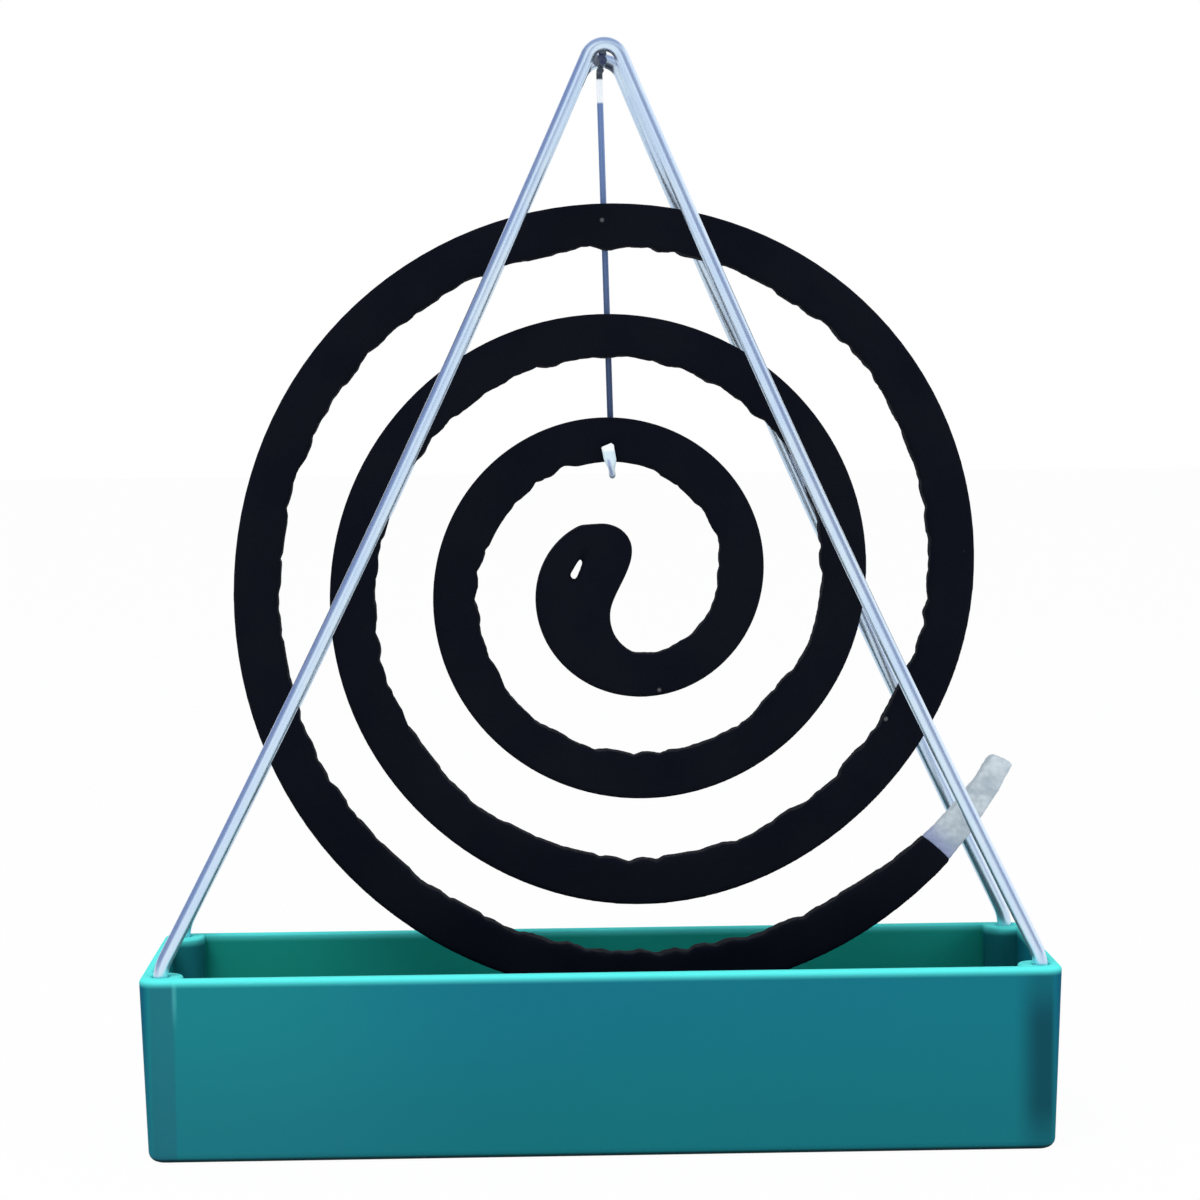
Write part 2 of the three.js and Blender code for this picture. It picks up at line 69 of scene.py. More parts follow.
class Value:
    """An output of a shader node. Sums and products of values add Math nodes."""

    def __init__(self, paint, socket):
        self.paint = paint
        self.socket = socket

    def maths(self, operation, *others):
        """A Math node that takes this value first."""
        return self.paint.node("Math", {"operation": operation}, {0: self, **dict(enumerate(others, 1))})

    def __add__(self, other):
        return self.maths("ADD", other)

    def __radd__(self, other):
        return self.maths("ADD", other)

    def __sub__(self, other):
        return self.maths("SUBTRACT", other)

    def __rsub__(self, other):
        return self.maths("MULTIPLY", -1) + other

    def __mul__(self, other):
        return self.maths("MULTIPLY", other)

    def __rmul__(self, other):
        return self.maths("MULTIPLY", other)

    def between(self, low, high):
        """0 below low, 1 above high, and a smooth rise between them."""
        settings = {"interpolation_type": "SMOOTHSTEP"}
        return self.paint.node("MapRange", settings, {"Value": self, "From Min": low, "From Max": high})

    def band(self, rise, fall):
        """0, then 1 from the end of the rise to the start of the fall, and 0 again."""
        return self.between(*rise) * (1 - self.between(*fall))


class Paint:
    """The shader nodes of one material, or of the world."""

    def __init__(self, owner):
        owner.use_nodes = True
        self.tree = owner.node_tree
        self.tree.nodes.clear()

    def node(self, kind, settings=None, sockets=None, out=0):
        """Adds a node, sets what it is, feeds its sockets with values or links, and gives one output."""
        made = self.tree.nodes.new("ShaderNode" + kind)
        for name, value in (settings or {}).items():
            setattr(made, name, value)
        for name, value in (sockets or {}).items():
            socket = made.inputs[name]
            if isinstance(value, Value):
                self.tree.links.new(value.socket, socket)
            elif socket.type == "RGBA":
                socket.default_value = (*value, 1)
            else:
                socket.default_value = value
        return Value(self, made.outputs[out])

    def mix(self, share, first, second):
        """The first colour where the share is 0, the second where it is 1."""
        sockets = {"Factor": share, 6: first, 7: second}
        return self.node("Mix", {"data_type": "RGBA"}, sockets, out=2)

    def spot(self):
        """The place on the object, in metres."""
        return self.node("TexCoord", out=3)

    def axes(self, vector):
        """The three parts of a vector."""
        split = self.node("SeparateXYZ", None, {0: vector})
        return [Value(self, output) for output in split.socket.node.outputs]

    def grain(self, scale, detail=2.0, stretch=(1, 1, 1), roughness=0.5):
        """Soft random values round a half; the scale is in grains to the metre."""
        where = self.node("Mapping", None, {"Vector": self.spot(), "Scale": stretch})
        sockets = {"Vector": where, "Scale": scale, "Detail": detail, "Roughness": roughness}
        return self.node("TexNoise", None, sockets)

    def surface(self, shader, kind="OutputMaterial"):
        """Links the finished shader to the output."""
        output = self.tree.nodes.new("ShaderNode" + kind)
        self.tree.links.new(shader.socket, output.inputs[0])


def linear(red, green, blue):
    """A colour given from 0 to 255, as the shaders take it."""
    def one(level):
        share = level / 255
        return share / 12.92 if share <= 0.04045 else ((share + 0.055) / 1.055) ** 2.4
    return tuple(one(level) for level in (red, green, blue))


bpy.ops.object.select_all(action="DESELECT")
bpy.ops.mesh.primitive_plane_add(size=8)
floor = bpy.context.object
floor.name = "floor"
board = bpy.data.materials.new("pale_board")
paint = Paint(board)
lit = paint.node("BsdfDiffuse", None, {"Color": (0.86, 0.86, 0.86)})
white = paint.node("Emission", None, {"Color": (1, 1, 1), "Strength": 1.0})
rays = paint.node("LightPath").socket.node.outputs
seen, mirrored = (Value(paint, rays[name]) for name in ("Is Camera Ray", "Is Glossy Ray"))
pale = paint.node("Emission", None, {"Color": (0.80, 0.92, 1), "Strength": 0.9})
lit = paint.node("MixShader", None, {0: mirrored * 0.7, 1: lit, 2: pale})
paint.surface(paint.node("MixShader", None, {0: seen * 0.965, 1: lit, 2: white}))
floor.data.materials.append(board)

room = bpy.data.worlds.new("white_room")
bpy.context.scene.world = room
paint = Paint(room)
sideways, backwards, upwards = paint.axes(paint.node("TexCoord"))
rays = paint.node("LightPath").socket.node.outputs
seen, mirrored, through = (Value(paint, rays[name]) for name in (
    "Is Camera Ray", "Is Glossy Ray", "Is Transmission Ray"))
right_screen = upwards.band((-0.02, 0.15), (0.4, 0.62)) * sideways.between(-0.05, 0.1)
right_screen = right_screen * (1 - backwards.between(-0.5, -0.2))
left_screen = upwards.between(-0.05, 0.15) * (sideways * -1).between(0.35, 0.75)
overhead_screen = upwards.between(0.5, 0.85) * (1 - backwards.between(0.5, 0.8))
mirror = paint.mix(backwards.between(-0.2, 0.6), (0.82, 0.92, 1), (0.96, 0.98, 1))
mirror = paint.mix(right_screen * 0.9, mirror, (0.02, 0.06, 0.24))
mirror = paint.mix(left_screen * 0.9, mirror, (0.02, 0.08, 0.3))
mirror = paint.mix(overhead_screen * 0.85, mirror, (0.10, 0.18, 0.42))
soft = paint.mix(upwards.between(-0.2, 0.9), (0.42, 0.46, 0.52), (0.62, 0.64, 0.66))
light = paint.mix(mirrored, soft, mirror)
light = paint.mix(seen.maths("MAXIMUM", through), light, (1, 1, 1))
paint.surface(paint.node("Background", None, {"Color": light, "Strength": 1.0}), "OutputWorld")


def lamp(name, power, size, where, towards):
    """A square soft lamp that faces a point. The metal doesn't mirror it."""
    bpy.ops.object.light_add(type="AREA", location=Vector(where))
    made = bpy.context.object
    made.name = name
    made.data.energy = power
    made.data.size = size
    made.visible_glossy = False
    aim = Vector(towards) - Vector(where)
    made.rotation_euler = aim.to_track_quat("-Z", "Y").to_euler()


lamp("key_lamp", 5.0, 0.5, (-0.35, -0.45, 0.85), (0, 0, 0.08))
lamp("side_lamp", 2.0, 0.4, (0.75, -0.35, 0.35), (0, 0, 0.08))


# Tray. Injection moulded in one piece from turquoise plastic: drafted walls with round corners, a
# rounded rim, and in each corner a post with a blind socket for one foot of the wire stand. The
# sockets' mouths are chamfered, so that the feet find their way in.

def clear():
    """Nothing is left selected, so that the next operator acts on its own piece alone."""
    if bpy.context.object and bpy.context.object.mode == "EDIT":
        bpy.ops.object.mode_set(mode="OBJECT")
    bpy.ops.object.select_all(action="DESELECT")


def shape(kind):
    """Opens the active piece for editing its points, edges or faces."""
    bpy.ops.object.mode_set(mode="EDIT")
    bpy.ops.mesh.select_mode(type=kind)
    bpy.ops.mesh.select_all(action="DESELECT")


def pick(kind, test):
    """Selects the edges or faces that pass a test."""
    bpy.ops.mesh.select_mode(type={"edges": "EDGE", "faces": "FACE"}[kind])
    bpy.ops.mesh.select_all(action="DESELECT")
    mesh = bmesh.from_edit_mesh(bpy.context.object.data)
    for item in getattr(mesh, kind):
        if test(item):
            item.select_set(True)
    bmesh.update_edit_mesh(bpy.context.object.data)


def block(name, low, high):
    """A block between two corners, open for editing."""
    low, high = Vector(low), Vector(high)
    clear()
    bpy.ops.mesh.primitive_cube_add(size=1, location=(low + high) / 2, scale=high - low)
    made = bpy.context.object
    made.name = name
    bpy.ops.object.transform_apply(location=True, rotation=True, scale=True)
    shape("FACE")
    return made


def upright_edge(edge):
    """An edge that stands up, between two faces."""
    rise = edge.verts[1].co - edge.verts[0].co
    return abs(rise.z) > 0.9 * rise.length and len(edge.link_faces) == 2


def cut(piece, cutter):
    """Takes a cutter away from a piece, and the cutter out of the scene."""
    clear()
    bpy.context.view_layer.objects.active = piece
    piece.select_set(True)
    modifier = piece.modifiers.new("cut", "BOOLEAN")
    modifier.operation = "DIFFERENCE"
    modifier.solver = "EXACT"
    modifier.object = cutter
    bpy.ops.object.modifier_apply(modifier=modifier.name)
    bpy.data.objects.remove(cutter)


def smooth(piece, angle):
    """Smooth shading across the soft edges, with the flat faces kept flat."""
    clear()
    bpy.context.view_layer.objects.active = piece
    piece.select_set(True)
    bpy.ops.object.shade_smooth_by_angle(angle=math.radians(angle))
    modifier = piece.modifiers.new("flats", "WEIGHTED_NORMAL")
    modifier.keep_sharp = True
    bpy.ops.object.modifier_apply(modifier=modifier.name)


tray_length, tray_depth, tray_height = 150.7 * mm, 46 * mm, 30.5 * mm
wall, base, draft = 1.8 * mm, 2 * mm, 1 * mm
outer_corner, inner_corner, foot_round = 3 * mm, 2.4 * mm, 1.6 * mm
rim_round, mouth_round = 0.9 * mm, 0.5 * mm
half_x, half_y = tray_length / 2, tray_depth / 2
overrun, hair = 2 * mm, 0.001 * mm


def drafted(name, inset, z_low, z_high, corner, foot):
    """A block whose sides lean in towards the foot, with round corners and a rounded foot edge."""
    def lean(z):
        return inset + draft * (1 - z / tray_height)
    top = lean(z_high)
    low = (top - half_x, top - half_y, z_low)
    made = block(name, low, (half_x - top, half_y - top, z_high))
    pick("faces", lambda face: face.normal.z < -0.9)
    narrow = lean(z_low)
    share = ((half_x - narrow) / (half_x - top), (half_y - narrow) / (half_y - top), 1)
    bpy.ops.transform.resize(value=share, center_override=(0, 0, z_low))
    pick("edges", upright_edge)
    bpy.ops.mesh.bevel(offset=corner, segments=12, affect="EDGES")
    pick("edges", lambda edge: all(point.co.z < z_low + hair for point in edge.verts))
    bpy.ops.mesh.bevel(offset=foot, segments=6, affect="EDGES")
    return made


tray = drafted("tray_moulding", 0, 0, tray_height, outer_corner, foot_round)
well = drafted("well", wall, base, tray_height + overrun, inner_corner, foot_round)

post_reach, post_corner = 7.1 * mm, 3 * mm
for side_x in (-1, 1):
    for side_y in (-1, 1):
        near = Vector((side_x * (half_x + overrun / 2), side_y * (half_y + overrun / 2), -overrun / 2))
        far = Vector((
            side_x * (half_x - post_reach), side_y * (half_y - post_reach), tray_height + 2 * overrun))
        low = [min(pair) for pair in zip(near, far)]
        high = [max(pair) for pair in zip(near, far)]
        post = block("post", low, high)
        pick("edges", lambda edge: upright_edge(edge) and all(
            (point.co.xy - far.xy).length < hair for point in edge.verts))
        bpy.ops.mesh.bevel(offset=post_corner, segments=10, affect="EDGES")
        cut(well, post)
cut(tray, well)

socket_inset, socket_radius, socket_depth = 3.4 * mm, 1.5 * mm, 10 * mm
lead_in, overlap = 0.25 * mm, 0.05 * mm
foot_x, foot_y = half_x - socket_inset, half_y - socket_inset
for side_x in (-1, 1):
    for side_y in (-1, 1):
        clear()
        middle = (side_x * foot_x, side_y * foot_y, tray_height - (socket_depth - overrun) / 2)
        bpy.ops.mesh.primitive_cylinder_add(
            vertices=32, radius=socket_radius, depth=socket_depth + overrun, location=middle)
        drill = bpy.context.object
        bpy.ops.object.transform_apply(location=True, rotation=True, scale=True)
        cut(tray, drill)
        clear()
        bpy.ops.mesh.primitive_cone_add(
            vertices=32, radius1=socket_radius - overlap, radius2=socket_radius + 2 * lead_in,
            depth=2 * lead_in + overlap, location=(*middle[:2], tray_height - overlap / 2))
        mouth = bpy.context.object
        bpy.ops.object.transform_apply(location=True, rotation=True, scale=True)
        cut(tray, mouth)

bpy.context.view_layer.objects.active = tray
shape("EDGE")


def rim_edge(edge, outer):
    """A sharp edge of the rim: the tray's outline, or the mouth of the well and its posts."""
    flat = all(abs(point.co.z - tray_height) < hair for point in edge.verts)
    if not flat or len(edge.link_faces) != 2 or edge.calc_face_angle(0) < math.radians(30):
        return False
    middle = (edge.verts[0].co + edge.verts[1].co) / 2
    bore = min((middle.xy - Vector((x * foot_x, y * foot_y))).length for x in (-1, 1) for y in (-1, 1))
    if bore < socket_radius + 2 * lead_in:
        return False
    outside = max(abs(middle.x) - half_x, abs(middle.y) - half_y) > -wall / 3 or (
        abs(middle.x) > half_x - outer_corner and abs(middle.y) > half_y - outer_corner)
    return outside == outer


pick("edges", lambda edge: rim_edge(edge, True))
bpy.ops.mesh.bevel(offset=rim_round, segments=8, affect="EDGES", loop_slide=False)
pick("edges", lambda edge: rim_edge(edge, False))
bpy.ops.mesh.bevel(offset=mouth_round, segments=5, affect="EDGES", loop_slide=False)
smooth(tray, 35)

plastic = bpy.data.materials.new("turquoise_plastic")
paint = Paint(plastic)
x, y, z = paint.axes(paint.spot())
clouds = paint.grain(14, 1.0)
# Painted shade: the tray is lighter towards the top and darker towards the foot, as the light falls from
# above.
height = z.between(1 * mm, 29 * mm)
hue = x.between(-60 * mm, -10 * mm)
shaded_low_tone = paint.mix(hue, linear(28, 118, 128), linear(24, 112, 124))
lit_high_tone = paint.mix(hue, linear(26, 127, 133), linear(22, 113, 133))
body = paint.mix(height, shaded_low_tone, lit_high_tone)
body = paint.mix(clouds.between(0.35, 0.7) * 0.35, body, linear(14, 118, 118))
aside = x.maths("ABSOLUTE")
within = 1 - aside.between(73.4 * mm, 73.8 * mm)
front_side = 1 - y.between(-21.2 * mm, -19.5 * mm)

# In front of the posts the thicker plastic has sunk a little, and its shade is painted as darker bands,
# with a thin painted highlight line beside the left one. The round corners are painted darker and
# bluer, as painted shade and reflection.
right_post_shade = x.band((66.8 * mm, 71.4 * mm), (73.1 * mm, 74.2 * mm))
right_post_shade = right_post_shade * (0.4 + 0.42 * z.band((1 * mm, 8 * mm), (21 * mm, 28.5 * mm)))
body = paint.mix(right_post_shade * front_side, body, linear(14, 62, 76))
left_post_shade = x.band((-73.7 * mm, -73.1 * mm), (-69.7 * mm, -69.3 * mm))
body = paint.mix(left_post_shade * front_side * 0.4, body, linear(40, 92, 112))
# Painted highlight: a thin pale line beside the left post.
line = x.band((-70 * mm, -69.5 * mm), (-69.4 * mm, -68.8 * mm)) * z.between(21 * mm, 28 * mm)
body = paint.mix(line * front_side * 0.4, body, linear(90, 190, 190))
# Painted shade and reflection: the round corners are darker and bluer.
corner = aside.between(73.2 * mm, 75 * mm)
body = paint.mix(corner * front_side * 0.9, body, linear(4, 84, 112))

# Inside, the back wall is paler and greener than its posts. The foot is darkened as a painted contact
# shadow, and the rim is lightened as a painted highlight.
back_wall = y.band((19.4 * mm, 19.9 * mm), (21.4 * mm, 21.8 * mm))
body = paint.mix(back_wall * within, body, linear(30, 156, 142))
back_post = y.band((14 * mm, 15 * mm), (18 * mm, 19 * mm)) * aside.between(66 * mm, 67 * mm)
body = paint.mix(back_post * within, body, linear(28, 118, 124))
# Painted shade: a dark contact shadow along the foot.
foot = 1 - z.between(0.5 * mm, 1.0 * mm)
body = paint.mix(foot * 0.85, body, linear(4, 24, 28))
# Painted highlight: the rounded rim is paler, where it catches the light.
painted_rim_highlight = z.between(28.9 * mm, 30.3 * mm)
colour = paint.mix(painted_rim_highlight, body, linear(92, 236, 230))
skin = paint.grain(900, 3.0)
fine = paint.node("Bump", None, {"Strength": 0.03, "Distance": 0.2 * mm, "Height": skin})
sheen = 0.4 + 0.1 * paint.grain(60, 4.0)
paint.surface(paint.node("BsdfPrincipled", None, {
    "Base Color": colour, "Roughness": sheen, "Normal": fine, "Specular IOR Level": 0.0,
    "Coat Weight": 0.08, "Coat Roughness": 0.25}))
tray.data.materials.append(plastic)
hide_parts("tray")
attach(tray, "tray")


# Stand. Two A-shaped frames, each one length of plated steel wire bent over a former, with its
# straight feet pushed into the tray's sockets. They lean towards each other at the top.

def touch(point, middle, radius, hand):
    """Where a line from a point touches a circle, on the side that the hand names."""
    away = point - middle
    swing = hand * math.acos(radius / away.length)
    c, s = math.cos(swing), math.sin(swing)
    unit = away.normalized()
    return middle + radius * Vector((unit.x * c - unit.y * s, unit.x * s + unit.y * c))


def arc_knots(middle, radius, start, end, count):
    """Knots of a round bend, as (handle before, knot, handle after) in the bend's own plane."""
    step = (end - start) / count
    reach = radius * 4 / 3 * math.tan(step / 4)
    knots = []
    for number in range(count + 1):
        angle = start + number * step
        spot = middle + radius * Vector((math.cos(angle), math.sin(angle)))
        along = Vector((-math.sin(angle), math.cos(angle))) * reach
        knots.append([spot - along, spot, spot + along])
    return knots


def bent_wire(name, knots, thickness, rounds=10):
    """A round wire through knots with handles, its ends closed, as a mesh."""
    clear()
    bpy.ops.curve.primitive_bezier_curve_add()
    made = bpy.context.object
    made.name = name
    line = made.data
    line.dimensions = "3D"
    points = line.splines[0].bezier_points
    points.add(len(knots) - 2)
    for point, (before, spot, after) in zip(points, knots):
        point.handle_left_type = point.handle_right_type = "FREE"
        point.handle_left, point.co, point.handle_right = before, spot, after
    line.resolution_u = 16
    line.bevel_depth = thickness / 2
    line.bevel_resolution = rounds
    line.use_fill_caps = True
    line.twist_mode = "MINIMUM"
    bpy.ops.object.convert(target="MESH")
    shape("VERT")
    bpy.ops.mesh.select_all(action="SELECT")
    bpy.ops.mesh.remove_doubles(threshold=1e-6)
    bpy.ops.mesh.normals_make_consistent(inside=False)
    clear()
    bpy.context.view_layer.objects.active = made
    made.select_set(True)
    bpy.ops.object.shade_smooth_by_angle(angle=math.radians(40))
    return made


frame_wire = 2.4 * mm
apex_height, apex_y, apex_x = 181.45 * mm, 9.2 * mm, 2.05 * mm
rear_sag, neck, foot_depth = 0.93 * mm, 2.2 * mm, 9.7 * mm
front_bend, rear_bend = 2.95 * mm, 3.8 * mm
front_neck_rise, rear_neck_rise = 1.1 * mm, 1.6 * mm
left_bow, right_bow = 1.35 * mm, 1.15 * mm


def frame_knots(side, top_z, neck_rise, bend):
    """The wire's way: up out of the left socket, over the top and down into the right one."""
    corner_z = tray_height + neck_rise
    rise, draw_in = top_z - corner_z, foot_y - apex_y
    slope = Vector((0, -side * draw_in, rise))
    length = slope.length
    slope.normalize()
    foot_line = Vector((0, side * foot_y, corner_z))

    def put(spot):
        return foot_line + Vector((spot.x, 0, 0)) + slope * spot.y

    middle = Vector((apex_x, length - bend))
    legs = []
    for hand, bow in ((-1, left_bow), (1, right_bow)):
        foot = Vector((hand * foot_x, 0))
        chord = touch(foot, middle, bend, hand) - foot
        inward = Vector((-hand * chord.y, hand * chord.x)).normalized()
        control = foot + chord / 2 + inward * 2 * bow
        end = touch(control, middle, bend, hand)
        start = foot + (control - foot).normalized() * neck
        legs.append((foot, start, control, end))

    def leg(number):
        foot, start, control, end = legs[number]
        corner = put(foot)
        below = corner - Vector((0, 0, neck))
        last = Vector((corner.x, corner.y, tray_height - foot_depth))
        return [
            [last, last, last.lerp(below, 1 / 3)],
            [last.lerp(below, 2 / 3), below, below.lerp(corner, 2 / 3)],
            [put(start).lerp(corner, 2 / 3), put(start), put(start.lerp(control, 2 / 3))],
            [put(end.lerp(control, 2 / 3)), put(end), None],
        ]

    left, right_leg = leg(0), leg(1)
    angles = [math.atan2(*(legs[number][3] - middle).yx) for number in (0, 1)]
    over = [[put(spot) for spot in knot] for knot in arc_knots(middle, bend, *angles, 3)]
    over[0][0] = left[-1][0]
    over[-1][2] = right_leg[-1][0]
    back = [[after, spot, before] for before, spot, after in reversed(right_leg[:-1])]
    return left[:-1] + over + back


front_knots = frame_knots(-1, apex_height, front_neck_rise, front_bend)
rear_knots = frame_knots(1, apex_height - rear_sag, rear_neck_rise, rear_bend)
front = bent_wire("front_wire", front_knots, frame_wire)
rear = bent_wire("rear_wire", rear_knots, frame_wire)

plating = bpy.data.materials.new("plated_wire")
paint = Paint(plating)
cloud = paint.grain(120, 3.0)
lines = paint.grain(2600, 2.0, (1, 1, 0.04))
tone = paint.mix(cloud.between(0.35, 0.65), (0.74, 0.85, 1), (0.82, 0.91, 1))
sheen = 0.26 + 0.06 * lines
fine = paint.node("Bump", None, {"Strength": 0.02, "Distance": 0.02 * mm, "Height": lines})
x, y, z = paint.axes(paint.spot())

# Painted shade: the inside of the rear bend is darkened on both sides of the crossbar, where its
# underside lies in shade.
across, up = x - apex_x, z - (apex_height - rear_sag - rear_bend)
inside = 1 - (across * across + up * up).maths("SQRT").between(3.3 * mm, 3.9 * mm)
beside = across.band((-3.3 * mm, -3 * mm), (-1.9 * mm, -1.5 * mm))
beside = beside + across.band((0.4 * mm, 0.8 * mm), (1.9 * mm, 2.4 * mm))
# The burn mask here marks painted shade on the wire.
burn = inside * beside * y.between(6 * mm, 7 * mm)
tone = paint.mix(burn * 0.9, tone, linear(24, 30, 58))
paint.surface(paint.node("BsdfPrincipled", None, {
    "Base Color": tone, "Metallic": 0.87, "Roughness": sheen, "Normal": fine}))
for wire, node in ((front, "front_frame"), (rear, "rear_frame")):
    wire.data.materials.append(plating)
    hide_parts(node)
    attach(wire, "stand")


# Crossbar. A short length of thinner wire, cut square, welded under the front bend and butted
# against the rear one. The heat of the welding has burnt it to a dull blue-black.

bar_wire, weld_gap, bar_edge = 1.7 * mm, 0.3 * mm, 0.15 * mm
bar_aside, bar_drop = 0.45 * mm, 0.55 * mm
bar_x = apex_x - bar_aside
bar_front_z = apex_height - frame_wire / 2 - bar_drop - bar_wire / 2
bar_rise = (apex_height - rear_sag - bar_front_z) / (2 * apex_y)


def bar_spot(y):
    """The crossbar's middle line, at a depth."""
    return Vector((bar_x, y, bar_front_z + (y + apex_y) * bar_rise))


bar_ends = [bar_spot(-apex_y - frame_wire / 2), bar_spot(apex_y - frame_wire / 2 - weld_gap)]
bar_way = bar_ends[1] - bar_ends[0]
clear()
bpy.ops.mesh.primitive_cylinder_add(
    vertices=40, radius=bar_wire / 2, depth=bar_way.length, location=(bar_ends[0] + bar_ends[1]) / 2,
    rotation=bar_way.to_track_quat("Z", "Y").to_euler())
bar = bpy.context.object
bar.name = "crossbar_rod"
bpy.ops.object.transform_apply(location=True, rotation=True, scale=True)
shape("EDGE")
pick("edges", lambda edge: min(max(
    (point.co - end).length for point in edge.verts) for end in bar_ends) < bar_wire * 0.51)
bpy.ops.mesh.bevel(offset=bar_edge, segments=3, affect="EDGES")
smooth(bar, 40)

burnt_steel = bpy.data.materials.new("burnt_steel")
paint = Paint(burnt_steel)
cloud = paint.grain(700, 3.0)
tone = paint.mix(cloud.between(0.35, 0.65), linear(42, 50, 84), linear(88, 96, 104))
scale = paint.node("Bump", None, {"Strength": 0.3, "Distance": 0.1 * mm, "Height": cloud})
paint.surface(paint.node("BsdfPrincipled", None, {
    "Base Color": tone, "Metallic": 0.3, "Roughness": 0.45 + 0.3 * cloud, "Normal": scale}))
bar.data.materials.append(burnt_steel)
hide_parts("crossbar")
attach(bar, "stand")


# Welds. Three small burnt beads of steel hold the crossbar to the two frames and the hook's arm to
# the crossbar.

def weld(name, where, size):
    """A lumpy bead of steel round a point."""
    clear()
    bpy.ops.mesh.primitive_uv_sphere_add(segments=32, ring_count=20, radius=0.5, location=where)
    made = bpy.context.object
    made.name = name
    bpy.ops.transform.resize(value=size)
    bpy.ops.object.transform_apply(location=True, rotation=True, scale=True)
    for point in made.data.vertices:
        point.co += point.normal * 0.1 * mm * noise.noise(point.co / mm * 1.7)
    smooth(made, 60)
    made.data.materials.append(burnt_steel)
    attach(made, "stand")


over_bar = Vector((0.15 * mm, 0, bar_wire / 2 + 0.2 * mm))
under_bar = Vector((0, 0, -bar_wire / 2 - 0.15 * mm))
weld("front_weld", bar_spot(-apex_y) + over_bar, Vector((1.3, 1.8, 1.1)) * mm)
weld("rear_weld", bar_spot(apex_y - frame_wire / 2 - 0.2 * mm), Vector((1.8, 0.9, 1.9)) * mm)
weld("arm_weld", bar_spot(-4.2 * mm) + under_bar, Vector((1.1, 3.6, 0.8)) * mm)


# Hook. One thin plated wire: an arm welded along the underside of the crossbar, a straight shank
# that passes behind the coil, and a J under the coil whose end in front is pressed flat. The weld
# has burnt the arm as dark as the crossbar.

hook_wire, seat_y = 1.05 * mm, 3.025 * mm
arm_aside, arm_length, elbow_inset = 0.5 * mm, 8 * mm, 0.9 * mm
neck_drop, elbow_bend, neck_bend = 4.4 * mm, 1.6 * mm, 1.1 * mm
hook_aside, hook_drop = 1 * mm, 67.755 * mm
tip_aside, tip_lean, tip_rise = 0.5 * mm, 0.4 * mm, 2.2 * mm
round_share = 4 / 3 * math.tan(math.pi / 8)


def arm_spot(y):
    """The arm's middle line under the crossbar, at a depth."""
    return Vector((apex_x - arm_aside, y, bar_spot(y).z - bar_wire / 2 - weld_gap - hook_wire / 2))


turn_middle = Vector((apex_x + hook_aside, 0, apex_height - hook_drop))
shank_foot = turn_middle + Vector((0, seat_y, 0))
elbow = arm_spot(seat_y - elbow_inset)
arm_end = arm_spot(seat_y - elbow_inset - arm_length)
shank_head = Vector((elbow.x, seat_y, elbow.z))
down = (shank_foot - shank_head).normalized()
neck_foot = shank_head + down * neck_drop
arm_way, neck_way = (elbow - arm_end).normalized(), (neck_foot - elbow).normalized()
into, out = elbow - arm_way * elbow_bend, elbow + neck_way * elbow_bend
high_bend, low_bend = neck_foot - neck_way * neck_bend, neck_foot + down * neck_bend
lowest = turn_middle - Vector((0, 0, seat_y))
tip_foot = turn_middle + Vector((-tip_aside, -seat_y, 0))
tip = tip_foot + Vector((-tip_lean, 0, tip_rise))
tip_way = (tip - tip_foot).normalized()
reach = seat_y * round_share
knots = [
    [arm_end, arm_end, arm_end.lerp(into, 1 / 3)],
    [arm_end.lerp(into, 2 / 3), into, into.lerp(elbow, round_share)],
    [out.lerp(elbow, round_share), out, out.lerp(high_bend, 1 / 3)],
    [out.lerp(high_bend, 2 / 3), high_bend, high_bend.lerp(neck_foot, 2 / 3)],
    [low_bend.lerp(neck_foot, 2 / 3), low_bend, low_bend.lerp(shank_foot, 1 / 3)],
    [low_bend.lerp(shank_foot, 2 / 3), shank_foot, shank_foot - Vector((0, 0, reach))],
    [lowest + Vector((0, reach, 0)), lowest, lowest - Vector((0, reach, 0))],
    [tip_foot - tip_way * reach, tip_foot, tip_foot.lerp(tip, 1 / 3)],
    [tip_foot.lerp(tip, 2 / 3), tip, tip],
]
hook = bent_wire("hook_wire", knots, hook_wire, rounds=7)


def share_of(value):
    """A value kept between 0 and 1."""
    return min(max(value, 0), 1)


def eased(value):
    """0 below 0, 1 above 1, and a smooth rise between them."""
    share = share_of(value)
    return share * share * (3 - 2 * share)


# The tip is pressed to twice its width, with its top end askew and its corners rounded off.
thinned, narrowed, top_slant = 0.38, 0.35, 0.6 * mm
narrow_from, narrow_reach = 1.7 * mm, 0.5 * mm
for point in hook.data.vertices:
    rise = point.co.z - turn_middle.z
    if point.co.y > -hook_wire / 2 or rise > 2 * tip_rise:
        continue
    flattened = eased(rise / (0.75 * seat_y) + 1)
    lean = tip_aside + tip_lean * rise / tip_rise if rise > 0 else tip_aside * (1 + rise / seat_y)
    beside = (point.co.x - turn_middle.x + lean) * (1 + flattened)
    beside *= 1 - narrowed * share_of((rise - narrow_from) / narrow_reach) ** 3
    point.co.x = turn_middle.x - lean + beside
    point.co.y = -seat_y + (point.co.y + seat_y) * (1 - thinned * flattened)
    point.co.z += top_slant * eased(2 * rise / tip_rise - 1) * beside / (2 * hook_wire)

thin_plating = bpy.data.materials.new("hook_plating")
paint = Paint(thin_plating)
x, y, z = paint.axes(paint.spot())
lines = paint.grain(2600, 2.0, (1, 1, 0.04))
cloud = paint.grain(700, 3.0)

# Painted shade and reflections: the shank is darker further down, as painted shade behind the coil.
# The slanting neck is painted white as a reflection of the floor, and the pressed tip pale as a
# painted reflection, with a painted white highlight at its top and a faint groove under it drawn as
# a painted shade line.
shank_shade = 1 - z.between(118 * mm, 168 * mm)
tone = paint.mix(shank_shade, (0.20, 0.29, 0.52), (0.06, 0.09, 0.18))
